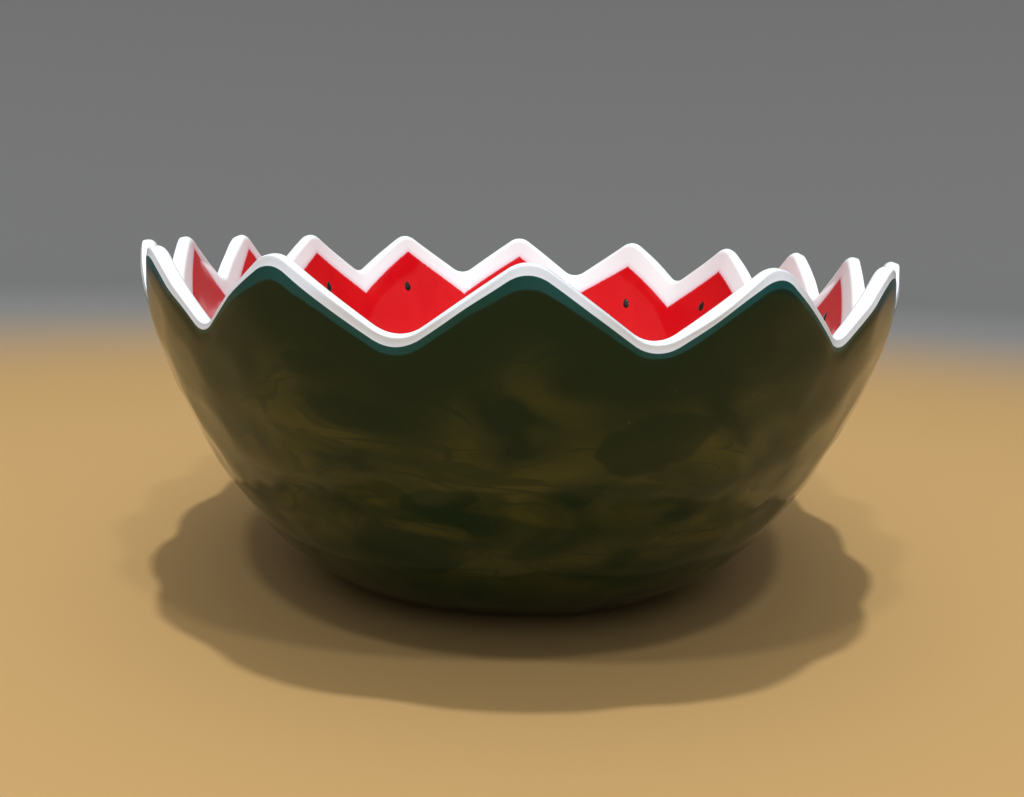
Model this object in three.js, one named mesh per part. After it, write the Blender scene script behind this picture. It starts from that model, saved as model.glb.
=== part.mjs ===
// An oval serving bowl of glazed ceramic in the form of half a watermelon, its rim cut in a zigzag.
// One piece: the flat foot, the wall and the teeth are one closed surface, worked out ring by ring
// up the outside, over the cut face and down the inside. Millimetres, +Z up, foot on z = 0.
import * as THREE from 'three';
import { ParametricGeometry } from 'three/addons/geometries/ParametricGeometry.js';

// Plan
const halfWidth = 115.6; // wall's outside at the tips' height, across X
const halfLength = 162.6; // the same along Y
const squareness = 2.26; // exponent of the oval: 2 is an ellipse, more is squarer

// Wall
const tipHeight = 101.5; // foot to the outer edge of a tooth's tip
const footShare = 0.456; // size of the flat foot against the oval at the rim
const bellyPower = 1.411; // how upright the wall stands near the rim
const footPower = 1.727; // how full the wall is where it rises from the foot
const wallThickness = 6.2;

// Zigzag rim: straight flanks between rounded tips and rounded notches
const teeth = 16;
const flankAngle = THREE.MathUtils.degToRad(34);
const toothRadius = 7.5;

// Edge of the rim, measured down from the outer top edge and in from the wall
const bareEdgeHeight = 2.4; // bevel under the top edge
const shoulderHeight = 5.5; // soft shoulder where the bevel runs out into the wall
const topInset = 1.2; // leaves a cut face about 5 wide
const bevelInset = 0.4;
const innerEdgeRise = 0.3;

// Mesh
const columnsPerTooth = 14;
const tipCrowding = 0.45; // 0 spaces the columns evenly, more draws them to tips and notches
const wallRings = 10;
const insideRings = 8;
const footCrowding = 1.7;

// The oval, travelled anticlockwise from the end at -Y. Its length along the curve sets the teeth.
class Oval extends THREE.Curve {
  getPoint(t, target = new THREE.Vector3()) {
    const angle = 2 * Math.PI * t;
    const power = 2 / squareness;
    const across = Math.sign(Math.sin(angle)) * Math.abs(Math.sin(angle)) ** power;
    const along = -Math.sign(Math.cos(angle)) * Math.abs(Math.cos(angle)) ** power;
    return target.set(halfWidth * across, halfLength * along, 0);
  }
}
const oval = new Oval();
oval.arcLengthDivisions = 4000;
const pitch = oval.getLength() / teeth;

// Outward normal of the oval at a point on it, from the slope of its equation.
function ovalNormal(point) {
  const slope = (value, half) => Math.sign(value) * Math.abs(value / half) ** (squareness - 1) / half;
  return new THREE.Vector3(slope(point.x, halfWidth), slope(point.y, halfLength), 0).normalize();
}

// Height of the outer top edge at a distance along the rim from the nearest tip: an arc, a straight
// flank and the notch's arc, each arc meeting the flank at its slope.
const tipDrop = toothRadius * (1 / Math.cos(flankAngle) - 1);
const toothDepth = Math.tan(flankAngle) * pitch / 2 - 2 * tipDrop;
function rimHeight(fromTip) {
  const arcReach = toothRadius * Math.sin(flankAngle);
  const fromNotch = pitch / 2 - fromTip;
  const sagitta = (reach) => toothRadius - Math.sqrt(toothRadius ** 2 - reach ** 2);
  if (fromTip < arcReach) return tipHeight - sagitta(fromTip);
  if (fromNotch < arcReach) return tipHeight - toothDepth + sagitta(fromNotch);
  return tipHeight + tipDrop - Math.tan(flankAngle) * fromTip;
}

// Size of the wall's oval at a height, as a share of the oval at the rim.
function wallShare(height) {
  const left = Math.max(0, 1 - height / tipHeight);
  return footShare + (1 - footShare) * (1 - left ** bellyPower) ** (1 / footPower);
}

// How far the outside has drawn in at a drop below the top edge: the bevel, then the shoulder.
function edgeInset(drop) {
  if (drop < bareEdgeHeight) return THREE.MathUtils.mapLinear(drop, 0, bareEdgeHeight, topInset, bevelInset);
  if (drop < shoulderHeight) return THREE.MathUtils.mapLinear(drop, bareEdgeHeight, shoulderHeight, bevelInset, 0);
  return 0;
}

// Everything about one column of the bowl: its place on the oval and the rim's height there.
function columnAt(u) {
  const toothPlace = (u % 1) * teeth;
  const crowded = toothPlace - tipCrowding * Math.sin(4 * Math.PI * toothPlace) / (4 * Math.PI);
  const point = oval.getPointAt(crowded / teeth);
  const fromTip = Math.abs(crowded - Math.round(crowded)) * pitch;
  return { point, normal: ovalNormal(point), rim: rimHeight(fromTip) };
}

// A point of the outside wall at a height.
function outside({ point, normal, rim }, height) {
  const place = point.clone().multiplyScalar(wallShare(height));
  place.addScaledVector(normal, -edgeInset(rim - height));
  return place.setZ(height);
}

// A point of the inside wall: the plain outside at a height, moved in square to the surface there.
function inside({ point, normal }, height) {
  const step = 0.01;
  const reach = point.dot(normal);
  const lean = reach * (wallShare(height + step) - wallShare(height - step)) / (2 * step);
  const inward = normal.clone().setZ(-lean).normalize().multiplyScalar(-wallThickness);
  return point.clone().multiplyScalar(wallShare(height)).setZ(height).add(inward);
}

// The rings in order, from the middle of the underside to the middle of the floor inside.
function buildRings() {
  const rings = [() => new THREE.Vector3(0, 0, 0)];
  for (let i = 0; i < wallRings; i++) {
    const share = (i / wallRings) ** footCrowding;
    rings.push((column) => outside(column, share * (column.rim - shoulderHeight)));
  }
  for (const drop of [shoulderHeight, bareEdgeHeight, 0]) {
    rings.push((column) => outside(column, column.rim - drop));
  }
  const innerEdge = ({ point, normal, rim }) => point.clone()
    .multiplyScalar(wallShare(rim))
    .addScaledVector(normal, -wallThickness)
    .setZ(rim + innerEdgeRise);
  rings.push(innerEdge);
  for (let i = insideRings - 1; i >= 0; i--) {
    const share = ((i + 0.25) / insideRings) ** footCrowding;
    rings.push((column) => inside(column, share * column.rim));
  }
  rings.push(() => new THREE.Vector3(0, 0, wallThickness));
  return rings;
}

function buildBowl() {
  const rings = buildRings();
  const lastRing = rings.length - 1;
  const columns = new Map();
  const place = (u, v, target) => {
    if (!columns.has(u)) columns.set(u, columnAt(u));
    target.copy(rings[Math.round(v * lastRing)](columns.get(u)));
  };
  const geometry = new ParametricGeometry(place, teeth * columnsPerTooth, lastRing);
  const glaze = new THREE.MeshStandardMaterial({ color: 0x16301f, roughness: 0.08, metalness: 0 });
  const bowl = new THREE.Mesh(geometry, glaze);
  bowl.name = 'bowl';
  return bowl;
}

const group = new THREE.Group();
group.add(buildBowl());

export default group;
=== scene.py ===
import math
from types import SimpleNamespace
import bpy
import numpy as np
from mathutils import Matrix, Vector


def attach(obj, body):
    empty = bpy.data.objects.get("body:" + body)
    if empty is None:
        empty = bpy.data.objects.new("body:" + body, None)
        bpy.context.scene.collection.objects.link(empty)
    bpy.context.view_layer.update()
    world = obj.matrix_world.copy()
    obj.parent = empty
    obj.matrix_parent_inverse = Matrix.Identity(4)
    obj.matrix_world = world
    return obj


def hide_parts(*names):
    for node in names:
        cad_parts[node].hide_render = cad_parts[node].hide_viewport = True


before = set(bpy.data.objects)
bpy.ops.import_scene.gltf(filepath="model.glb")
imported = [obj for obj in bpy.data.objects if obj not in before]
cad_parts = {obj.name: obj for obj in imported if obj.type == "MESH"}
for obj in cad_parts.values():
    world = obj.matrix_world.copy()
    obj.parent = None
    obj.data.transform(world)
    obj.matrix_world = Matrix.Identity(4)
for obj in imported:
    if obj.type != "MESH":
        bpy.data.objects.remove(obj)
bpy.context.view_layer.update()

# the bowl: lengths in metres and angles in degrees, unless a note says otherwise; a share is a size
# against the oval at the rim
bowl = {
    # plan and wall
    "halfWidth": 0.1156,
    "halfLength": 0.1626,
    "squareness": 2.26,      # 2 is an ellipse, more is squarer
    "tipHeight": 0.1015,
    "footShare": 0.456,
    "bellyPower": 1.411,     # more stands the wall more upright near the rim
    "footPower": 1.727,      # more makes it fuller where it rises from the foot
    "wallThickness": 0.0062,
    "levelDepth": 0.012,     # below the rim, where the thickness has turned square to the wall
    "footRecess": 0.0009,
    "recessEdge": (0.342, 0.369),
    "dishShare": 0.709,      # where the rounded floor inside has risen by dishRise
    "dishRise": 0.0181,
    "dishPower": 5.3,
    "dishBlend": (0.60, 0.78),

    # low waves and shallow tool scoops left by hand finishing, which fade out at the foot
    "ripple": 0.00017,
    "rippleSink": 1.6,       # keeps the waves under the plain wall, counted in ripples
    "rippleWaves": 18,
    "rippleLengths": (0.018, 0.060),
    "scoopDepth": 0.00030,
    "scoopSink": 1.35,       # keeps the scoops under the plain wall, counted in depths
    "scoopCap": 1.3,         # where a scoop's curve ends, counted in depths
    "scoopWidth": 0.023,
    "scoopRows": [0.006, 0.018, 0.031, 0.045, 0.058, 0.072, 0.085, 0.098],
    "scoopShift": 0.28,      # most that a scoop is off its place in the row, counted in scoops
    "scoopLift": 0.0035,
    "scoopStretch": 1.5,     # scoops are wider than high by this much
    "scoopSpread": 0.00003,  # how unlike their sizes are, in square metres
    "scoopCrease": 0.0033,   # softness of the creases between them
    "fadeHeight": 0.006,

    # zigzag rim
    "teeth": 16,
    "flankAngle": 34,
    "tipRadius": 0.0075,

    # hand-cut teeth, from the one at -Y anticlockwise: millimetres that each tip and notch sits off its
    # even place, and the notches' radii in millimetres
    "tipAlong": [0.5, 0.8, -0.8, 0.8, -1.2, 0.7, -1.7, -1.6, -1.2, -0.1, -0.1, -2.2, 1.2, 0.5, -1.6, -0.9],
    "notchAlong": [0.8, 0.9, 0.0, 0.0, -1.3, -0.8, -0.7, -0.9, -1.1, -1.0, 1.4, -1.2, 0.4, 0.4, -1.5, 0.4],
    "tipUp": [0.0, -0.2, -0.4, -0.6, -0.8, -1.0, -1.1, -0.5, 0.0, -0.1, -0.1, 0.0, 0.0, 0.0, -0.2, 0.0],
    "notchUp": [-0.3, -0.8, -0.4, -0.6, -0.5, -1.4, -0.4, -0.6, -0.3, 0.5, 0.3, 1.3, 0.7, 0.4, -0.8, -0.4],
    "notchRadius": [9.5, 8.0, 7.5, 8.5, 7.0, 8.0, 7.5, 8.5, 8.0, 7.0, 8.0, 7.5, 8.5, 7.5, 8.0, 10.5],

    # cut edge: insets from the wall, depths below the top
    "topInset": 0.0012,
    "bevelInset": 0.0004,
    "bevelHeight": 0.0024,   # slope under the cut face, about as deep as the white there
    "wornInset": 0.0006,     # the cut face's outer edge where it is worn down
    "wornDrop": 0.0010,
    "shoulder": 0.0055,      # where the bevel has run out into the wall
    "rimThickness": 0.0056,  # wall at the cut face, a little thinner than below
    "innerEdgeRise": 0.0004, # the cut face's inner edge above its outer one
    "outerRound": 0.0005,
    "innerRound": 0.0022,

    # state of the cut edge at every quarter tooth, drawn between two limits except at the named places:
    # how far its outer edge is worn, 0 crisp to 1 rounded, and millimetres of bare white left under it
    "worn": (0.0, 0.5, {14.75: 0.2, 15.0: 0.1, 15.25: 0.0, 15.5: 0.4, 15.75: 0.55, 0.0: 0.15, 0.25: 0.15,
                        0.5: 0.4, 0.75: 1.0, 1.0: 0.1, 1.25: 0.2}),
    "bare": (2.1, 2.7, {14.5: 2.1, 14.75: 1.7, 15.0: 2.5, 15.25: 2.6, 15.5: 2.7, 15.75: 2.3, 0.0: 2.4,
                        0.25: 2.5, 0.5: 2.5, 0.75: 2.45, 1.0: 2.5, 1.25: 2.4}),

    # glazes: the green's edge and the millimetres of thin teal under it, a band partly painted as a
    # reflection of cool light, and the red's zigzag edge in millimetres below the tips' height
    "glazeStep": 0.00004,    # how far the green stands proud of the white
    "stepPlace": 0.4,        # where the white beside it lies deepest, as a part of the bevel
    "glazeWander": 0.00013,  # how unevenly the green's edge runs
    "wanderWaves": 12,
    "wanderLengths": (0.009, 0.05),
    "tealAtTips": [2.6, 1.9, 2.0, 2.3, 2.1, 2.4, 2.2, 2.5, 2.3, 2.1, 2.4, 2.2, 2.5, 2.1, 2.3, 3.0],
    "tealAtNotches": [1.3, 0.8, 1.0, 1.2, 0.9, 1.1, 1.0, 1.3, 1.1, 0.9, 1.2, 1.0, 1.1, 0.9, 0.8, 1.6],
    "redAtTips": [8.4, 8.8, 8.0, 7.4, 7.6, 9.2, 10.5, 10.8, 8.1, 6.7, 7.2, 4.9, 3.6, 4.6, 6.2, 7.6],
    "redAtNotches": [26.0, 26.3, 26.8, 27.2, 27.3, 27.5, 27.6, 26.4,
                     25.6, 24.9, 25.4, 26.2, 26.5, 26.2, 25.8, 25.9],
    "farBelow": 0.09,        # mask values clear of the green's edge, in the green and out of it
    "clearAbove": -0.006,

    # mesh: counts, and the places of single rings as shares or as parts of their stretch
    "ovalSteps": 200001,
    "columnsPerTooth": 40,
    "tipCrowding": 0.45,
    "footRings": (0.12, 0.24, 0.335, 0.345, 0.352, 0.359, 0.366, 0.375, 0.400, 0.425, 0.445),
    "wallRings": 66,
    "wallCrowding": 1.7,
    "shoulderRings": 8,
    "bevelRings": (0.08, 0.16, 0.4, 0.7),
    "outerArcRings": 7,
    "cutRings": (0.25, 0.5, 0.75),
    "innerArcRings": 8,
    "insideRings": 27,
    "insideCrowding": 1.6,
    "floorRings": (0.43, 0.40, 0.36, 0.31, 0.25, 0.18, 0.10),

    # random draws
    "wanderDice": 11,
    "rippleDice": 5,
    "scoopDice": 19,
    "edgeDice": 31,
}


def ovalTable():
    # superellipse: |x/halfWidth|^n + |y/halfLength|^n = 1, walked from the -Y end, with its arc length
    angle = np.linspace(0, 2 * np.pi, bowl["ovalSteps"])
    power = 2 / bowl["squareness"]
    x = bowl["halfWidth"] * np.sign(np.sin(angle)) * np.abs(np.sin(angle)) ** power
    y = -bowl["halfLength"] * np.sign(np.cos(angle)) * np.abs(np.cos(angle)) ** power
    along = np.concatenate([[0], np.cumsum(np.hypot(np.diff(x), np.diff(y)))])
    return x, y, along


tableX, tableY, tableAlong = ovalTable()
pitch = tableAlong[-1] / bowl["teeth"]


def ovalAt(place):
    # point and outward normal at a place counted in teeth from the -Y end
    along = np.mod(place, bowl["teeth"]) * pitch
    x = np.interp(along, tableAlong, tableX)
    y = np.interp(along, tableAlong, tableY)
    bend = bowl["squareness"] - 1
    nx = np.sign(x) * np.abs(x / bowl["halfWidth"]) ** bend / bowl["halfWidth"]
    ny = np.sign(y) * np.abs(y / bowl["halfLength"]) ** bend / bowl["halfLength"]
    size = np.hypot(nx, ny)
    return np.stack([x, y], -1), np.stack([nx / size, ny / size], -1)


def eased(marks, place):
    # marks evenly spaced round the rim; eases from each to the next by t * t * (3 - 2t)
    along = place * len(marks) / bowl["teeth"]
    step = np.floor(along).astype(int)
    t = along - step
    before, after = marks[step % len(marks)], marks[(step + 1) % len(marks)]
    return before + t * t * (3 - 2 * t) * (after - before)


def tipsAndNotches(tips, notches):
    # one list round the rim, a tip and then the notch after it
    return np.column_stack([bowl[tips], bowl[notches]]).ravel()


def edgeState(kind, place):
    # the cut edge's state between its quarter-tooth marks
    low, high, known = bowl[kind]
    perTooth = 4
    marks = np.random.default_rng(bowl["edgeDice"]).uniform(low, high, bowl["teeth"] * perTooth)
    for spot, value in known.items():
        marks[int(spot * perTooth)] = value
    return eased(marks, place)


def rimAt(place):
    # arc at the tip, straight flank, arc in the notch; each arc meets the flank at its slope
    slope = math.radians(bowl["flankAngle"])
    fromTip = np.abs(place - np.round(place)) * pitch
    fromNotch = pitch / 2 - fromTip
    arcDrop = 1 / math.cos(slope) - 1

    def sag(radius, across):
        return radius - np.sqrt(np.maximum(radius ** 2 - across ** 2, 0))

    tipRadius = bowl["tipRadius"]
    notch = np.floor(place).astype(int) % bowl["teeth"]
    notchRadius = np.array(bowl["notchRadius"])[notch] / 1000
    corner = bowl["tipHeight"] + arcDrop * tipRadius
    flank = corner - math.tan(slope) * fromTip
    bottom = corner - math.tan(slope) * pitch / 2 + arcDrop * notchRadius
    rim = np.where(fromTip < tipRadius * math.sin(slope), bowl["tipHeight"] - sag(tipRadius, fromTip), flank)
    rim = np.where(fromNotch < notchRadius * math.sin(slope), bottom + sag(notchRadius, fromNotch), rim)
    return rim + eased(tipsAndNotches("tipUp", "notchUp") / 1000, place)


def wallShare(height):
    # oval's size at a height: footShare + rest * (1 - (1 - height/tip)^belly)^(1/foot)
    left = np.clip(1 - height / bowl["tipHeight"], 0, 1)
    rest = 1 - bowl["footShare"]
    return bowl["footShare"] + rest * (1 - left ** bowl["bellyPower"]) ** (1 / bowl["footPower"])


def wallNormal(point, normal, height):
    # outward normal in space: the oval's normal tipped down by how fast the wall widens
    step = 1e-5
    low = np.maximum(height - step, 0)
    widening = (wallShare(height + step) - wallShare(low)) / (height + step - low)
    lean = (point * normal).sum(-1) * widening
    size = np.sqrt(1 + lean ** 2)
    return np.stack([normal[..., 0] / size, normal[..., 1] / size, -lean / size], -1)


def smoothStep(low, high, value):
    t = np.clip((value - low) / (high - low), 0, 1)
    return t * t * (3 - 2 * t)


def wave(place, height, dice, count, lengths):
    # sum of cosines that close round the oval, for uneven hand work; about -1 to 1
    rng = np.random.default_rng(dice)
    shortest, longest = lengths
    turns = np.round(pitch * bowl["teeth"] / rng.uniform(shortest, longest, count))
    rise = rng.uniform(-1, 1, count) / shortest
    phase = rng.uniform(0, 2 * np.pi, count)
    total = np.zeros(np.broadcast(place, height).shape)
    for turn, up, start in zip(turns, rise, phase):
        total = total + np.cos(2 * np.pi * (turn * place / bowl["teeth"] + up * height) + start)
    usualPeak = 1.6 * math.sqrt(count)
    return total / usualPeak


def scoopCentres():
    # staggered rows of points on the wall, each moved a little at random, and a random size
    rng = np.random.default_rng(bowl["scoopDice"])
    shift, lift = bowl["scoopShift"], bowl["scoopLift"]
    centres = []
    for row, height in enumerate(bowl["scoopRows"]):
        share = wallShare(np.array(height))
        count = int(round(pitch * bowl["teeth"] * share / bowl["scoopWidth"]))
        steps = (np.arange(count) + 0.5 * (row % 2) + rng.uniform(-shift, shift, count)) / count
        point = ovalAt(steps * bowl["teeth"])[0] * share
        up = height + rng.uniform(-lift, lift, count)
        centres.append(np.column_stack([point, up, rng.uniform(0, 1, count)]))
    return np.concatenate(centres)


def scoops(position, centres):
    # smooth minimum over the centres of squared distance, with heights stretched; 0 in a scoop's middle
    soft = bowl["scoopCrease"] ** 2
    total = np.full(len(position), 1e-30)   # above 0, so that its logarithm is finite
    for x, y, z, size in centres:
        up = bowl["scoopStretch"] * (position[:, 2] - z)
        away = (position[:, 0] - x) ** 2 + (position[:, 1] - y) ** 2 + up ** 2
        total = total + np.exp(-(away + size * bowl["scoopSpread"]) / soft)
    return -soft * np.log(total)


def edgeRound(corner, before, after, radius, count):
    # arc of a radius that touches the two lines meeting at a corner, as (inset, drop) pairs
    a = (before - corner) / np.linalg.norm(before - corner)
    b = (after - corner) / np.linalg.norm(after - corner)
    half = math.acos(np.clip(a @ b, -1, 1)) / 2
    centre = corner + (a + b) / np.linalg.norm(a + b) * radius / math.sin(half)
    start = corner + a * radius / math.tan(half) - centre
    end = corner + b * radius / math.tan(half) - centre
    t = np.linspace(0, 1, count)
    span = math.acos(np.clip(start @ end / radius ** 2, -1, 1))
    weights = np.stack([np.sin((1 - t) * span), np.sin(t * span)], -1) / math.sin(span)
    return centre + weights @ np.stack([start, end])


def rimColumns():
    # the grid's columns: place on the oval, rim's height and depth of the green's edge; crowded to the tips
    even = np.arange(bowl["teeth"] * bowl["columnsPerTooth"]) / bowl["columnsPerTooth"]
    even = even - bowl["tipCrowding"] * np.sin(4 * np.pi * even) / (4 * np.pi)
    place = even + eased(tipsAndNotches("tipAlong", "notchAlong") / 1000, even) / pitch
    point, normal = ovalAt(place)
    wander = wave(place, 0.0, bowl["wanderDice"], bowl["wanderWaves"], bowl["wanderLengths"])
    glazeLine = edgeState("bare", even) / 1000 + bowl["glazeWander"] * wander
    return SimpleNamespace(even=even, place=place, point=point, normal=normal, rim=rimAt(even),
                           glazeLine=glazeLine, centres=scoopCentres())


def flatRing(column, share, z):
    return np.column_stack([column.point * share, np.full(len(column.point), z)])


def outerRing(column, height, inset):
    # plain wall less an inset, then sunk along its normal by the ripples and the scoops
    inward = column.normal * np.broadcast_to(inset, height.shape)[:, None]
    body = np.column_stack([column.point * wallShare(height)[:, None] - inward, height])
    ripples = wave(column.place, height, bowl["rippleDice"], bowl["rippleWaves"], bowl["rippleLengths"])
    hollow = scoops(body, column.centres) / (bowl["scoopWidth"] / 2) ** 2
    low = bowl["ripple"] * (ripples - bowl["rippleSink"])
    low = low + bowl["scoopDepth"] * (np.minimum(hollow, bowl["scoopCap"]) - bowl["scoopSink"])
    low = low * smoothStep(0.0, bowl["fadeHeight"], height)
    return body + wallNormal(column.point, column.normal, height) * low[:, None]


def cutRing(column, inset, drop):
    # level inset from the plain wall, at a drop below the top
    height = column.rim - max(drop, 0.0)
    across = column.point * wallShare(height)[:, None] - column.normal * inset
    return np.column_stack([across, column.rim - drop])


# each stretch of the skin is a list of rings: positions, and how far they are below the green's edge
def footRings(column):
    # a shallow recess, then the flat ring that touches the table
    rings = []
    for share in bowl["footRings"]:
        z = bowl["footRecess"] * (1 - smoothStep(*bowl["recessEdge"], share))
        rings.append((flatRing(column, share, z), bowl["farBelow"]))
    return rings


def wallRings(column):
    # outer wall, crowded to the foot, and the shoulder up to the green's edge
    rings = []
    for i in range(bowl["wallRings"]):
        height = (i / bowl["wallRings"]) ** bowl["wallCrowding"] * (column.rim - bowl["shoulder"])
        rings.append((outerRing(column, height, 0.0), column.rim - height - column.glazeLine))
    for t in np.linspace(0, 1, bowl["shoulderRings"]):
        drop = bowl["shoulder"] + t * (column.glazeLine - bowl["shoulder"])
        inset = bowl["bevelInset"] * (bowl["shoulder"] - drop) / (bowl["shoulder"] - bowl["bevelHeight"])
        rings.append((outerRing(column, column.rim - drop, inset), drop - column.glazeLine))
    return rings


def edgeArcs(column):
    # the rounded outer edge in each column, between its crisp and its worn form, and the inner edge
    top = np.array([bowl["topInset"], 0.0])
    worn = np.array([bowl["wornInset"], bowl["wornDrop"]])
    inner = np.array([bowl["rimThickness"], -bowl["innerEdgeRise"]])
    bevelFoot = np.array([bowl["bevelInset"], bowl["bevelHeight"]])
    straightBelow = inner + [0, bowl["shoulder"]]
    crispArc = edgeRound(top, bevelFoot, inner, bowl["outerRound"], bowl["outerArcRings"])[..., None]
    wornArc = edgeRound(worn, bevelFoot, inner, bowl["outerRound"], bowl["outerArcRings"])[..., None]
    outerArc = crispArc + (wornArc - crispArc) * edgeState("worn", column.even)
    return outerArc, edgeRound(inner, top, straightBelow, bowl["innerRound"], bowl["innerArcRings"])


def bevelRings(column, outerArc):
    # the green ends in a fine step, then the white bevel runs up to the rounded outer edge
    rings = []
    topInset, topDrop = outerArc[0]
    for t in bowl["bevelRings"]:
        drop = column.glazeLine + t * (topDrop - column.glazeLine)
        inset = bowl["bevelInset"] + t * (topInset - bowl["bevelInset"])
        sunk = smoothStep(0.0, bowl["stepPlace"], t) * (1 - smoothStep(bowl["stepPlace"], 1.0, t))
        position = outerRing(column, column.rim - drop, inset + bowl["glazeStep"] * sunk)
        rings.append((position, drop - column.glazeLine))
    for inset, drop in outerArc:
        position = outerRing(column, column.rim - np.maximum(drop, 0.0), inset)
        position[:, 2] = column.rim - drop
        rings.append((position, bowl["clearAbove"]))
    return rings


def cutRings(column, outerEdge, innerArc):
    # cut face, straight from edge to edge, and the rounded inner edge
    innerEdge = cutRing(column, *innerArc[0])
    positions = [outerEdge + t * (innerEdge - outerEdge) for t in bowl["cutRings"]]
    positions += [cutRing(column, inset, drop) for inset, drop in innerArc]
    return [(position, bowl["clearAbove"]) for position in positions]


def insideRings(column, startDrop):
    # inner wall, crowded to the floor, and the floor
    positions = []
    for i in range(1, bowl["insideRings"] + 1):
        height = (1 - i / bowl["insideRings"]) ** bowl["insideCrowding"] * (column.rim - startDrop)
        positions.append(innerWall(column.place, height, column.rim)[0])
    for share in bowl["floorRings"]:
        positions.append(dished(flatRing(column, share, bowl["wallThickness"]), share))
    return [(position, bowl["clearAbove"]) for position in positions]


def dished(position, share):
    # low down the inside follows thickness + rise * (share / dishShare)^power, easing into the wall higher up
    rounded = bowl["wallThickness"] + bowl["dishRise"] * (share / bowl["dishShare"]) ** bowl["dishPower"]
    mix = 1 - smoothStep(*bowl["dishBlend"], share)
    position[..., 2] += mix * (rounded - position[..., 2])
    return position


def innerWall(place, height, rim):
    # outer wall's point moved in by the thickness: level at the thinner rim, square to the wall lower down
    point, normal = ovalAt(place)
    square = wallNormal(point, normal, height)
    level = np.concatenate([normal, np.zeros_like(normal[..., :1])], -1)
    mix = smoothStep(0.0, bowl["levelDepth"], rim - height)[..., None]
    outward = level + mix * (square - level)
    outward = outward / np.linalg.norm(outward, axis=-1, keepdims=True)
    body = np.concatenate([point * wallShare(height)[..., None], height[..., None]], -1)
    thickness = bowl["rimThickness"] + mix * (bowl["wallThickness"] - bowl["rimThickness"])
    return dished(body - outward * thickness, wallShare(height)), -outward


def redEdge(place):
    # height of the red's edge: straight runs between the marks of tips and notches
    marks = tipsAndNotches("redAtTips", "redAtNotches")
    marks = np.append(marks, marks[0])
    below = np.interp(np.mod(place, bowl["teeth"]), np.arange(len(marks)) / 2, marks)
    return bowl["tipHeight"] - below / 1000


def bandDepth(place):
    # thin glaze band in mm, its teal partly a painted reflection: grows from each notch's mark to the next
    # tip's with the square of the rim's height
    rim = rimAt(place)
    share = ((rim - rim.min()) / (rim.max() - rim.min())) ** 2
    tip = np.array(bowl["tealAtTips"])[np.round(place).astype(int) % bowl["teeth"]]
    notch = np.array(bowl["tealAtNotches"])[np.floor(place).astype(int) % bowl["teeth"]]
    return notch + share * (tip - notch)


def meshPiece(name, vertices, faces):
    mesh = bpy.data.meshes.new(name)
    mesh.from_pydata(vertices.tolist(), [], faces)
    mesh.update()
    mesh.shade_smooth()
    piece = bpy.data.objects.new(name, mesh)
    bpy.context.scene.collection.objects.link(piece)
    return piece


def quadRows(rows, columns):
    # quads between neighbouring rings of a grid that closes on itself
    r = np.arange(rows - 1)[:, None] * columns
    c = np.arange(columns)[None, :]
    n = (c + 1) % columns
    return np.stack([r + c, r + n, r + columns + n, r + columns + c], -1).reshape(-1, 4)


def addMasks(piece, column, grid, belowLine):
    # for the glazes: millimetres below the green's edge, the red's edge and the lower edge of the thin band,
    # whose teal is partly a painted reflection
    middles = grid[[0, -1], :, 2].min(1)
    red = redEdge(column.even)
    band = np.append(np.tile(bandDepth(column.even), len(grid)), [0, 0])
    belowLine = np.append(belowLine, [bowl["farBelow"], bowl["clearAbove"]]) * 1000
    belowRed = np.append(red - grid[..., 2], red.mean() - middles) * 1000
    masks = {"belowGlazeLine": belowLine, "belowRedLine": belowRed, "belowThinAndReflectedBand": belowLine - band}
    for name, values in masks.items():
        mask = piece.data.attributes.new(name, "FLOAT", "POINT")
        mask.data.foreach_set("value", values.astype(np.float32))


def buildBowl():
    # one closed skin: underside, outer wall, shoulder, white bevel, cut face, inner wall, floor
    column = rimColumns()
    outerArc, innerArc = edgeArcs(column)
    rings = footRings(column) + wallRings(column) + bevelRings(column, outerArc)
    firstInside = len(rings)
    outerEdge = rings[-1][0]
    rings = rings + cutRings(column, outerEdge, innerArc) + insideRings(column, innerArc[-1][1])
    grid = np.stack([position for position, below in rings])
    belowLine = np.stack([np.broadcast_to(below, column.rim.shape) for position, below in rings])
    columns = len(column.even)
    print("bowl grid:", len(rings), "rings of", columns)

    # a fan closes the middle of the underside, another that of the floor
    middles = [[0, 0, bowl["footRecess"]], [0, 0, grid[-1, :, 2].min()]]
    vertices = np.concatenate([grid.reshape(-1, 3), middles])
    c = np.arange(columns)
    n = (c + 1) % columns
    last = (len(rings) - 1) * columns
    under = np.stack([np.full(columns, len(vertices) - 2), n, c], -1)
    floorFan = np.stack([last + c, last + n, np.full(columns, len(vertices) - 1)], -1)
    faces = quadRows(len(rings), columns).tolist() + under.tolist() + floorFan.tolist()
    piece = meshPiece("watermelonBowl", vertices, faces)
    addMasks(piece, column, grid, belowLine)

    # material 0 outside and bevel, 1 cut face and inside, 2 bare foot
    ring = np.repeat(np.arange(len(rings) - 1), columns)
    slot = np.where(ring >= firstInside - 1, 1, np.where(ring < len(bowl["footRings"]) - 1, 2, 0))
    slot = np.concatenate([slot, np.full(columns, 2), np.full(columns, 1)])
    piece.data.polygons.foreach_set("material_index", slot.astype(np.int32))
    print("bowl:", len(vertices), "vertices")
    return piece


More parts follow.
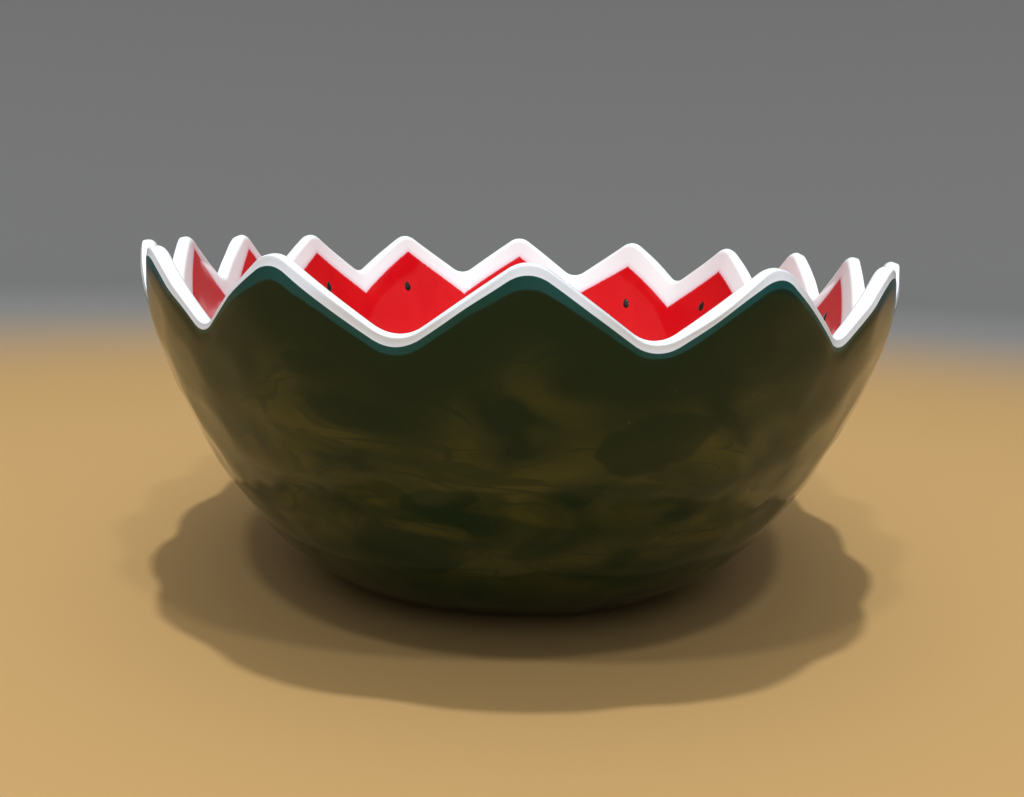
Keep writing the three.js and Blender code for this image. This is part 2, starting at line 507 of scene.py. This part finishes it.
# painted seeds, low drops of black glaze: lengths in metres, turns in radians, places counted in teeth
seeds = {
    "width": 0.0031,
    "length": 0.0049,
    "taper": 0.24,           # narrower at the upper end
    "proud": 0.00028,
    "settle": 0.00002,       # how far the dome is let into the red
    "skirt": 0.00006,        # how far its rim is
    "sunk": 0.00022,         # and its hidden underside
    "domeRings": (0.25, 0.5, 0.72, 0.88, 0.97),
    "underRings": (1.0, 0.7, 0.35),
    "columns": 18,
    "upperRow": [(9.03, 0.0247), (6.94, 0.0299), (6.09, 0.0279), (9.91, 0.0238), (4.04, 0.0234),
                 (12.2, 0.0360)],            # place and depth below the tips of those that show well
    "upperAside": 0.1,
    "upperDepth": (0.0235, 0.0295),
    "upperTurn": 0.35,
    "lowerRows": [(0.050, 14), (0.030, 11), (0.014, 7)],    # height and count
    "lowerAside": (0.25, 0.75),
    "lowerLift": 0.005,
    "lowerTurn": 0.45,
    "dice": 23,
}


def seedPlaces():
    # a seed under each tooth, then looser rows lower down; each is place, height and turn
    rng = np.random.default_rng(seeds["dice"])
    aside, turn, lift = seeds["upperAside"], seeds["upperTurn"], seeds["lowerLift"]
    known = {int(round(place)): (place, bowl["tipHeight"] - below) for place, below in seeds["upperRow"]}
    spots = []
    for tooth in range(bowl["teeth"]):
        drawn = (tooth + rng.uniform(-aside, aside), bowl["tipHeight"] - rng.uniform(*seeds["upperDepth"]))
        place, height = known.get(tooth, drawn)
        spots.append((place, height, rng.uniform(-turn, turn)))
    turn = seeds["lowerTurn"]
    for height, count in seeds["lowerRows"]:
        for i in range(count):
            place = (i + rng.uniform(*seeds["lowerAside"])) * bowl["teeth"] / count
            spots.append((place, height + rng.uniform(-lift, lift), rng.uniform(-turn, turn)))
    return np.array(spots)


def seedDrop():
    # teardrop: width times (1 - taper * cos) of an oval, domed by sqrt(1 - r^2); across, upward and lift
    turn = -np.linspace(0, 2 * np.pi, seeds["columns"], endpoint=False)
    dome = np.array(seeds["domeRings"])
    radii = np.append(dome, seeds["underRings"])[:, None]
    across = radii * np.sin(turn) * (1 - seeds["taper"] * np.cos(turn)) * seeds["width"] / 2
    upward = radii * np.cos(turn) * seeds["length"] / 2
    domeLift = seeds["proud"] * np.sqrt(1 - dome ** 2) - seeds["settle"]
    lift = np.append(domeLift, [-seeds["skirt"], -seeds["sunk"], -seeds["sunk"]])
    # the last two points are the middles of the dome and the underside
    lift = np.append(np.repeat(lift, len(turn)), [seeds["proud"], -seeds["sunk"]])
    return np.append(across, [0.0, 0.0]), np.append(upward, [0.0, 0.0]), lift


def seedFaces(count):
    # quads between the rings and a fan at each middle, for every seed
    columns, rows = seeds["columns"], len(seeds["domeRings"]) + len(seeds["underRings"])
    c = np.arange(columns)
    n = (c + 1) % columns
    last = (rows - 1) * columns
    top = np.stack([np.full(columns, rows * columns), n, c], -1)
    under = np.stack([last + c, last + n, np.full(columns, rows * columns + 1)], -1)
    starts = np.arange(count)[:, None, None] * (rows * columns + 2)
    faces = (starts + quadRows(rows, columns)).reshape(-1, 4).tolist()
    return faces + (starts + top).reshape(-1, 3).tolist() + (starts + under).reshape(-1, 3).tolist()


def buildSeeds():
    # each drop turned, then laid along the inner wall at its place
    spots = seedPlaces()
    across, upward, lift = seedDrop()
    cosTurn, sinTurn = np.cos(spots[:, 2])[:, None], np.sin(spots[:, 2])[:, None]
    sideways = across * cosTurn + upward * sinTurn
    upwards = upward * cosTurn - across * sinTurn
    place = np.broadcast_to(spots[:, 0][:, None], sideways.shape)
    height = np.broadcast_to(spots[:, 1][:, None], sideways.shape)
    # the wall's own slope and size turn lengths on the surface into steps of place and height
    point, normal = ovalAt(place)
    outward = wallNormal(point, normal, height)
    steep = np.hypot(outward[..., 0], outward[..., 1])
    place = place + sideways / (pitch * wallShare(height))
    height = height + upwards * steep
    position, inward = innerWall(place, height, rimAt(place))
    vertices = (position + inward * lift[None, :, None]).reshape(-1, 3)
    print("seeds:", len(spots))
    return meshPiece("paintedSeeds", vertices, seedFaces(len(spots)))


def feed(tree, socket, value):
    # links an output into a socket, or sets the socket's own value
    if hasattr(value, "is_output"):
        tree.links.new(value, socket)
    else:
        socket.default_value = value


def addNode(tree, kind, settings=None, *ordered, **named):
    # ordered values go to the node's first sockets, the others to the sockets of their names
    node = tree.nodes.new("ShaderNode" + kind)
    for name, value in (settings or {}).items():
        setattr(node, name, value)
    for index, value in enumerate(ordered):
        feed(tree, node.inputs[index], value)
    for name, value in named.items():
        feed(tree, node.inputs[name], value)
    return node


def calculate(tree, operation, *values, clamp=False):
    return addNode(tree, "Math", {"operation": operation, "use_clamp": clamp}, *values).outputs[0]


def calculateVector(tree, operation, *values, **named):
    return addNode(tree, "VectorMath", {"operation": operation}, *values, **named).outputs[0]


def noise(tree, spot, scale, detail, roughness=0.5, distortion=0.0, output="Fac"):
    node = addNode(tree, "TexNoise", Vector=spot, Scale=scale, Detail=detail, Roughness=roughness,
                   Distortion=distortion)
    return node.outputs[output]


def objectSpot(tree):
    return addNode(tree, "TexCoord").outputs["Object"]


def readMask(tree, name):
    return addNode(tree, "Attribute", {"attribute_name": name}).outputs["Fac"]


def mapRange(tree, value, low, high, toLow=0.0, toHigh=1.0):
    node = addNode(tree, "MapRange", {"interpolation_type": "SMOOTHSTEP"}, Value=value)
    for name, number in (("From Min", low), ("From Max", high), ("To Min", toLow), ("To Max", toHigh)):
        node.inputs[name].default_value = number
    return node.outputs[0]


def mixColours(tree, factor, first, second):
    mix = addNode(tree, "Mix", {"data_type": "RGBA"}, factor)
    for index, colour in ((6, first), (7, second)):     # the colour sockets A and B
        feed(tree, mix.inputs[index], colour if hasattr(colour, "is_output") else (*colour, 1))
    return mix.outputs[2]


def newGroup(name, inputs, outputs):
    # a shader node group whose sockets are all numbers
    group = bpy.data.node_groups.new(name, "ShaderNodeTree")
    for socketName, value in inputs.items():
        socket = group.interface.new_socket(socketName, in_out="INPUT", socket_type="NodeSocketFloat")
        socket.default_value = value
    for socketName in outputs:
        group.interface.new_socket(socketName, in_out="OUTPUT", socket_type="NodeSocketFloat")
    return group, group.nodes.new("NodeGroupInput").outputs, group.nodes.new("NodeGroupOutput").inputs


# skin of every glaze: noise scales per metre, a pinhole's radii in parts of its cell, depth in millimetres
skinForm = {
    "rippleScale": 42.0,
    "peelScale": 620.0,
    "pinholeScale": 85.0,
    "pinholeRadii": (0.012, 0.026),
    "pinholeDepth": 0.05,
    "allowScale": 160.0,     # a coarser noise, and the range in which it begins to let pinholes through
    "allowRange": (0.60, 0.66),
    "smearScale": 16.0,
    "smearRange": (0.35, 0.75),
    "smearRoughness": 0.025,
}


def makeSkinGroup():
    # glaze skin: long ripples, orange peel and pinholes as a height in millimetres, and an uneven gloss
    inputs = {"Ripple": 0.02, "Peel": 0.001, "Pinholes": 0.5, "Gloss": 0.05}
    group, given, result = newGroup("glazeSkin", inputs, ["Height", "Roughness", "Pits"])
    spot = objectSpot(group)
    ripple = noise(group, spot, skinForm["rippleScale"], detail=1.5, roughness=0.4, distortion=0.6)
    peel = noise(group, spot, skinForm["peelScale"], detail=1.0, roughness=0.4)
    height = calculate(group, "MULTIPLY", ripple, given["Ripple"])
    height = calculate(group, "MULTIPLY_ADD", peel, given["Peel"], height)
    # pinholes: the middles of small cells, kept where the coarser noise lets them through
    cells = addNode(group, "TexVoronoi", {"feature": "F1"}, Vector=spot, Scale=skinForm["pinholeScale"])
    near = mapRange(group, cells.outputs["Distance"], *skinForm["pinholeRadii"], 1.0, 0.0)
    allowed = noise(group, spot, skinForm["allowScale"], detail=0.0)
    allowed = mapRange(group, allowed, *skinForm["allowRange"])
    pits = calculate(group, "MULTIPLY", near, allowed)
    pits = calculate(group, "MULTIPLY", pits, given["Pinholes"])
    height = calculate(group, "MULTIPLY_ADD", pits, -skinForm["pinholeDepth"], height)
    # smears that take the gloss down a little
    smear = noise(group, spot, skinForm["smearScale"], detail=3.0, roughness=0.6, distortion=1.2)
    duller = mapRange(group, smear, *skinForm["smearRange"], 0.0, skinForm["smearRoughness"])
    group.links.new(height, result["Height"])
    group.links.new(calculate(group, "ADD", given["Gloss"], duller), result["Roughness"])
    group.links.new(pits, result["Pits"])
    return group


# clouds of every glaze: scales counted in the group's Size, ranges in the values of its noises and cells
cloudForm = {
    "finerScale": 1.3,
    "wispFlatten": 1.7,
    "wispWidth": 0.045,
    "wispRange": (0.42, 0.6),        # of the clouds' own noise, where wisps come in
    "patchScale": 1.35,
    "patchBend": 0.030,
    "patchRadii": (0.42, 0.53),
    "patchTones": (0.35, 0.75),      # of the cells' random tones, from no patch to a full one
}


def makeCloudGroup():
    # a glaze's uneven thickness, each 0 to 1: drifting clouds, thin wisps and round patches; on the green
    # outside they also lay painted reflections
    inputs = {"Size": 30.0, "Flatten": 1.0, "Contrast": 1.0}
    group, given, result = newGroup("glazeClouds", inputs, ["Clouds", "Wisps", "Patches"])
    stretch = addNode(group, "CombineXYZ", X=1.0, Y=1.0, Z=given["Flatten"]).outputs[0]
    spot = calculateVector(group, "MULTIPLY", objectSpot(group), stretch)
    finer = calculate(group, "MULTIPLY", given["Size"], cloudForm["finerScale"])
    # clouds: a noise spread about its mean
    broad = noise(group, spot, given["Size"], detail=3.0, roughness=0.45, distortion=1.6)
    mean = 0.5
    spread = calculate(group, "SUBTRACT", broad, mean)
    clouds = calculate(group, "MULTIPLY_ADD", spread, given["Contrast"], mean, clamp=True)
    # wisps: thin lines where a flatter, warped noise crosses its mean, inside the clouds
    flatter = calculateVector(group, "MULTIPLY", spot, (1.0, 1.0, cloudForm["wispFlatten"]))
    warped = noise(group, flatter, finer, detail=2.0, roughness=0.35, distortion=0.9)
    offMean = calculate(group, "ABSOLUTE", calculate(group, "SUBTRACT", warped, mean))
    line = mapRange(group, offMean, 0.0, cloudForm["wispWidth"], 1.0, 0.0)
    wisps = calculate(group, "MULTIPLY", line, mapRange(group, broad, *cloudForm["wispRange"]))
    # patches: blots round some of the middles of large cells, on coordinates bent by a slow noise
    bend = noise(group, spot, finer, detail=2.0, roughness=0.6, output="Color")
    bend = calculateVector(group, "SCALE", bend, Scale=cloudForm["patchBend"])
    bent = calculateVector(group, "ADD", spot, bend)
    cellScale = calculate(group, "MULTIPLY", given["Size"], cloudForm["patchScale"])
    cells = addNode(group, "TexVoronoi", {"feature": "F1"}, Vector=bent, Scale=cellScale)
    blot = mapRange(group, cells.outputs["Distance"], *cloudForm["patchRadii"], 1.0, 0.0)
    tone = addNode(group, "SeparateColor", Color=cells.outputs["Color"]).outputs[0]
    patches = calculate(group, "MULTIPLY", blot, mapRange(group, tone, *cloudForm["patchTones"]))
    group.links.new(clouds, result["Clouds"])
    group.links.new(wisps, result["Wisps"])
    group.links.new(patches, result["Patches"])
    return group


skinGroup = makeSkinGroup()
cloudGroup = makeCloudGroup()


def placeGroup(tree, group, values):
    node = tree.nodes.new("ShaderNodeGroup")
    node.node_tree = group
    for name, value in values.items():
        node.inputs[name].default_value = value
    return node.outputs


def newMaterial(name, **sockets):
    material = bpy.data.materials.new(name)
    material.use_nodes = True
    shader = material.node_tree.nodes["Principled BSDF"]
    for socket, value in sockets.items():
        shader.inputs[socket].default_value = value
    return material, material.node_tree, shader


def finishGlaze(tree, shader, colour, skin):
    # colour, gloss and the skin's height, which is in millimetres
    bump = addNode(tree, "Bump", Height=skin["Height"], Distance=0.001, Strength=1.0)
    tree.links.new(colour, shader.inputs["Base Color"])
    tree.links.new(bump.outputs[0], shader.inputs["Normal"])
    tree.links.new(skin["Roughness"], shader.inputs["Roughness"])


# dark green outside; its moss tone, partly a painted reflection of warm surroundings; the thin band along its
# upper edge, its teal partly a painted reflection of cool light; and the white beyond that, tinted cool as a
# painted offset for warm bounced light
outsideGlaze = {
    "deepGreen": (0.0005, 0.0200, 0.0070),
    "mossAndReflectionGreen": (0.0580, 0.0650, 0.0150),
    "thinGreen": (0.0010, 0.0560, 0.0420),
    # thin teal: thin glaze, partly painted as a reflection of cool light from above
    "thinTealAndReflection": (0.0060, 0.0850, 0.0900),
    # the white is tinted cool, a painted offset for the warm light bounced up onto the bevel
    "white": (0.795, 0.865, 0.975),
    "pit": (0.10, 0.11, 0.07),
    "IOR": 1.35,
    "clouds": {"Size": 26.0, "Flatten": 1.8, "Contrast": 3.6},
    "skin": {"Ripple": 0.12, "Peel": 0.0006, "Pinholes": 0.8, "Gloss": 0.012},
    # the moss tone is held down near the foot as painted shade, and near the rim as a painted darker
    # reflection
    "footShadeHeights": (0.004, 0.046),   # metres above the foot between which the moss tone comes in
    "mossAtFoot": 0.2,
    "rimDarkReflectionDepths": (8.0, 36.0),       # and millimetres below the green's edge
    "mossLeftInRimReflection": 0.03,
    # the blots are partly painted reflections of dark things, partly glaze tone
    "wisps": 0.55,                   # how much of the moss tone wisps and blots take away
    "blots": 0.9,
    "bandWander": 0.5,               # how far the clouds shift the band's lower edge, in millimetres
    "bandSoftness": 0.6,
    "tealScale": 24.0,
    "tealRange": (0.40, 0.60),
    "edgeSoftness": 0.06,            # of the green's edge, in millimetres to either side
}


def makeOutsideGlaze():
    glaze = outsideGlaze
    material, tree, shader = newMaterial("darkGreenGlaze", IOR=glaze["IOR"])
    below = readMask(tree, "belowGlazeLine")
    clouds = placeGroup(tree, cloudGroup, glaze["clouds"])
    # painted shade near the foot and a painted darker reflection near the rim: the moss tone fades out
    # towards the rim and the foot
    spot = objectSpot(tree)
    height = addNode(tree, "SeparateXYZ", Vector=spot).outputs["Z"]
    paintedFootShade = mapRange(tree, height, *glaze["footShadeHeights"], glaze["mossAtFoot"], 1.0)
    paintedRimReflection = mapRange(tree, below, *glaze["rimDarkReflectionDepths"], glaze["mossLeftInRimReflection"], 1.0)
    moss = calculate(tree, "MULTIPLY", paintedFootShade, paintedRimReflection)
    # the moss tone's clouds, and the wisps and blots below, are partly glaze tone and partly painted
    # reflection of warm and dark surroundings
    moss = calculate(tree, "MULTIPLY", moss, clouds["Clouds"])
    green = mixColours(tree, moss, glaze["deepGreen"], glaze["mossAndReflectionGreen"])
    wisps = mapRange(tree, clouds["Wisps"], 0.0, 1.0, 0.0, glaze["wisps"])
    blots = mapRange(tree, clouds["Patches"], 0.0, 1.0, 0.0, glaze["blots"])
    darker = calculate(tree, "MAXIMUM", wisps, blots)
    green = mixColours(tree, darker, green, glaze["deepGreen"])
    # the glaze breaks thin along its upper edge, green in places and teal in others; the teal is partly a
    # painted reflection of cool light from above
    belowBand = readMask(tree, "belowThinAndReflectedBand")
    wander = calculate(tree, "MULTIPLY_ADD", clouds["Clouds"], glaze["bandWander"], belowBand)
    thin = mapRange(tree, wander, 0.0, glaze["bandSoftness"], 1.0, 0.0)
    teal = noise(tree, spot, glaze["tealScale"], detail=1.0)
    teal = mapRange(tree, teal, *glaze["tealRange"], 1.0, 0.0)
    thinAndReflectedTeal = mixColours(tree, teal, glaze["thinGreen"], glaze["thinTealAndReflection"])
    green = mixColours(tree, thin, green, thinAndReflectedTeal)
    covered = mapRange(tree, below, -glaze["edgeSoftness"], glaze["edgeSoftness"])
    colour = mixColours(tree, covered, glaze["white"], green)
    skin = placeGroup(tree, skinGroup, glaze["skin"])
    colour = mixColours(tree, skin["Pits"], colour, glaze["pit"])
    finishGlaze(tree, shader, colour, skin)
    return material


# white cut face and inside, with sprayed red from its zigzag edge down
insideGlaze = {
    # white and thickWhite are tinted cool, a painted offset for the red light bounced across the inside
    "white": (0.850, 0.930, 0.935),
    "thickWhite": (0.822, 0.898, 0.922),
    "blushWhite": (0.810, 0.690, 0.760),
    "red": (0.600, 0.0008, 0.0060),
    "warmRed": (0.645, 0.0070, 0.0100),
    "deepRed": (0.540, 0.0010, 0.0060),
    "IOR": 1.34,
    "mottle": {"Size": 34.0, "Flatten": 1.0, "Contrast": 2.2},
    "drift": {"Size": 38.0, "Flatten": 1.0, "Contrast": 1.6},
    "skin": {"Ripple": 0.05, "Peel": 0.0012, "Pinholes": 0.5, "Gloss": 0.05},
    "deepPatches": 0.2,
    "mistScale": 900.0,
    "mistWander": 0.5,               # how far the droplets shift the red's edge, in millimetres
    "blushRange": (-2.2, 0.2),       # millimetres below the red's edge where the blush comes in
    "redRange": (-0.15, 0.85),       # and the red
}


def makeInsideGlaze():
    glaze = insideGlaze
    material, tree, shader = newMaterial("whiteAndRedGlaze", IOR=glaze["IOR"])
    below = readMask(tree, "belowRedLine")
    mottle = placeGroup(tree, cloudGroup, glaze["mottle"])
    # sprayed red: warmer and deeper patches, and a fine mist of droplets near its edge
    red = mixColours(tree, mottle["Clouds"], glaze["red"], glaze["warmRed"])
    deep = mapRange(tree, mottle["Patches"], 0.0, 1.0, 0.0, glaze["deepPatches"])
    red = mixColours(tree, deep, red, glaze["deepRed"])
    mist = noise(tree, objectSpot(tree), glaze["mistScale"], detail=1.0)
    wander = calculate(tree, "MULTIPLY_ADD", mist, glaze["mistWander"], below)
    # the white drifts in thickness, and the mist blushes it
    drift = placeGroup(tree, cloudGroup, glaze["drift"])
    white = mixColours(tree, drift["Clouds"], glaze["white"], glaze["thickWhite"])
    blush = mapRange(tree, wander, *glaze["blushRange"])
    margin = mixColours(tree, blush, white, glaze["blushWhite"])
    colour = mixColours(tree, mapRange(tree, wander, *glaze["redRange"]), margin, red)
    skin = placeGroup(tree, skinGroup, glaze["skin"])
    finishGlaze(tree, shader, colour, skin)
    return material


# unglazed foot
bareClay = {
    "clay": (0.760, 0.700, 0.620),
    "darkClay": (0.600, 0.530, 0.450),
    "IOR": 1.45,
    "scuffs": {"Size": 70.0, "Flatten": 1.0, "Contrast": 2.0},
    "grainScale": 1800.0,
    "grainDepth": 0.00006,
    "darkGrain": (0.55, 0.75, 0.0, 0.5),         # range of the grain, and how dark it makes the clay
    "roughGrain": (0.3, 0.7, 0.62, 0.82),        # and how rough
}


def makeClay():
    # fine grained fired clay with darker scuffs
    material, tree, shader = newMaterial("bareClay", IOR=bareClay["IOR"])
    scuffs = placeGroup(tree, cloudGroup, bareClay["scuffs"])
    colour = mixColours(tree, scuffs["Clouds"], bareClay["clay"], bareClay["darkClay"])
    grain = noise(tree, objectSpot(tree), bareClay["grainScale"], detail=3.0)
    dark = mapRange(tree, grain, *bareClay["darkGrain"])
    colour = mixColours(tree, dark, colour, bareClay["darkClay"])
    rough = mapRange(tree, grain, *bareClay["roughGrain"])
    bump = addNode(tree, "Bump", Height=grain, Distance=bareClay["grainDepth"], Strength=1.0)
    tree.links.new(colour, shader.inputs["Base Color"])
    tree.links.new(rough, shader.inputs["Roughness"])
    tree.links.new(bump.outputs[0], shader.inputs["Normal"])
    return material


# black seeds
seedGlaze = {
    "black": (0.0130, 0.0085, 0.0080),
    "brown": (0.0500, 0.0140, 0.0110),
    "IOR": 1.52,
    "patches": {"Size": 180.0, "Flatten": 1.0, "Contrast": 2.0},
    "skin": {"Ripple": 0.004, "Peel": 0.0015, "Pinholes": 0.0, "Gloss": 0.10},
    "thinRange": (0.55, 0.95, 0.0, 0.6),         # range of the clouds, and how brown they make the black
}


def makeSeedGlaze():
    # black drops that thin to brown in places
    material, tree, shader = newMaterial("blackSeedGlaze", IOR=seedGlaze["IOR"])
    patches = placeGroup(tree, cloudGroup, seedGlaze["patches"])
    thin = mapRange(tree, patches["Clouds"], *seedGlaze["thinRange"])
    colour = mixColours(tree, thin, seedGlaze["black"], seedGlaze["brown"])
    skin = placeGroup(tree, skinGroup, seedGlaze["skin"])
    finishGlaze(tree, shader, colour, skin)
    return material


bowlPiece = buildBowl()
for material in (makeOutsideGlaze(), makeInsideGlaze(), makeClay()):
    bowlPiece.data.materials.append(material)
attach(bowlPiece, "root")
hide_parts("bowl")

seedPiece = buildSeeds()
seedPiece.data.materials.append(makeSeedGlaze())
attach(seedPiece, "root")
print("pieces placed")

# studio: a pale round sweep, lamps overhead, a broad fill above and a soft one in front
studio = {
    "floorColour": (0.450, 0.285, 0.112),
    "wallColour": (0.260, 0.261, 0.258),
    "worldColour": (0.520, 0.525, 0.540),
    "drift": (0.40, 1.1),    # the floor turns from warm to neutral between these distances
    "innerRadius": 0.5,
    "floorRadius": 1.5,
    "sweepRadius": 0.8,
    "sweepHeight": 1.6,
    "bendSteps": 25,
    "columns": 128,
    "lampTarget": (0.0, 0.0, 0.04),
    # each lamp: place, size, power, colour, and whether the glaze mirrors it
    "lamps": [
        ((0.0, -0.47, 1.90), 0.08, 20.0, (1.0, 1.0, 1.0), True),
        ((-0.44, -1.15, 1.90), 0.15, 8.0, (1.0, 1.0, 1.0), True),
        ((0.44, -1.15, 1.90), 0.15, 8.0, (1.0, 1.0, 1.0), True),
        ((0.0, 0.1, 2.1), 1.5, 6.0, (1.0, 1.0, 1.0), False),
        ((0.0, -1.5, 0.9), 0.9, 3.0, (0.85, 0.93, 1.0), False),
    ],
}


def makeSweepPaint():
    # warm round the bowl, drifting to a neutral grey with distance
    material, tree, shader = newMaterial("paleSweep", Roughness=0.85, IOR=1.3)
    away = addNode(tree, "VectorMath", {"operation": "LENGTH"}, objectSpot(tree)).outputs["Value"]
    far = mapRange(tree, away, *studio["drift"])
    colour = mixColours(tree, far, studio["floorColour"], studio["wallColour"])
    tree.links.new(colour, shader.inputs["Base Color"])
    return material


def buildSweep():
    # a round floor whose edge curves up a quarter circle into a wall, turned about Z
    columns = studio["columns"]
    bend = np.linspace(0, np.pi / 2, studio["bendSteps"])
    curve = studio["floorRadius"] + studio["sweepRadius"] * np.sin(bend)
    out = np.concatenate([[studio["innerRadius"]], curve, curve[-1:]])
    z = np.concatenate([[0.0], studio["sweepRadius"] * (1 - np.cos(bend)), [studio["sweepHeight"]]])
    turn = np.linspace(0, 2 * np.pi, columns, endpoint=False)
    level = np.outer(z, np.ones(columns))
    grid = np.stack([np.outer(out, np.cos(turn)), np.outer(out, np.sin(turn)), level], -1)
    faces = quadRows(len(out), columns)[:, ::-1].tolist() + [list(range(columns))]
    piece = meshPiece("studioSweep", grid.reshape(-1, 3), faces)
    piece.data.materials.append(makeSweepPaint())
    return piece


buildSweep()


def addLamp(name, place, size, power, colour, mirrored):
    lamp = bpy.data.lights.new(name, "AREA")
    lamp.shape = "DISK"
    lamp.size = size
    lamp.energy = power
    lamp.color = colour
    item = bpy.data.objects.new(name, lamp)
    item.location = place
    item.visible_glossy = mirrored
    aim = Vector(studio["lampTarget"]) - Vector(place)
    item.rotation_euler = aim.to_track_quat("-Z", "Y").to_euler()
    bpy.context.scene.collection.objects.link(item)


for index, lampValues in enumerate(studio["lamps"]):
    addLamp("lamp" + str(index), *lampValues)

world = bpy.data.worlds.new("room")
world.use_nodes = True
world.node_tree.nodes["Background"].inputs[0].default_value = (*studio["worldColour"], 1)
bpy.context.scene.world = world
bpy.context.scene.view_settings.view_transform = "Standard"

# camera: close and low, a little above the teeth; angles in degrees
view = {
    "place": (-0.0034, -0.3891, 0.1097),
    "pitchDown": 8.806,
    "heading": 0.315,        # more turns towards +X
    "roll": 1.587,           # right side lower
    "lens": 40.21,
    "sensorWidth": 36.0,
    "clipStart": 0.01,
}


def addCamera():
    data = bpy.data.cameras.new("camera")
    data.lens = view["lens"]
    data.sensor_width = view["sensorWidth"]
    data.sensor_fit = "HORIZONTAL"
    data.clip_start = view["clipStart"]
    camera = bpy.data.objects.new("camera", data)
    pitchDown, heading, roll = (math.radians(view[k]) for k in ("pitchDown", "heading", "roll"))
    level = math.cos(pitchDown)
    look = Vector((math.sin(heading) * level, math.cos(heading) * level, -math.sin(pitchDown)))
    turn = look.to_track_quat("-Z", "Y").to_matrix().to_4x4() @ Matrix.Rotation(roll, 4, "Z")
    camera.matrix_world = Matrix.Translation(view["place"]) @ turn
    bpy.context.scene.collection.objects.link(camera)
    bpy.context.scene.camera = camera


addCamera()
print("studio and camera ready")
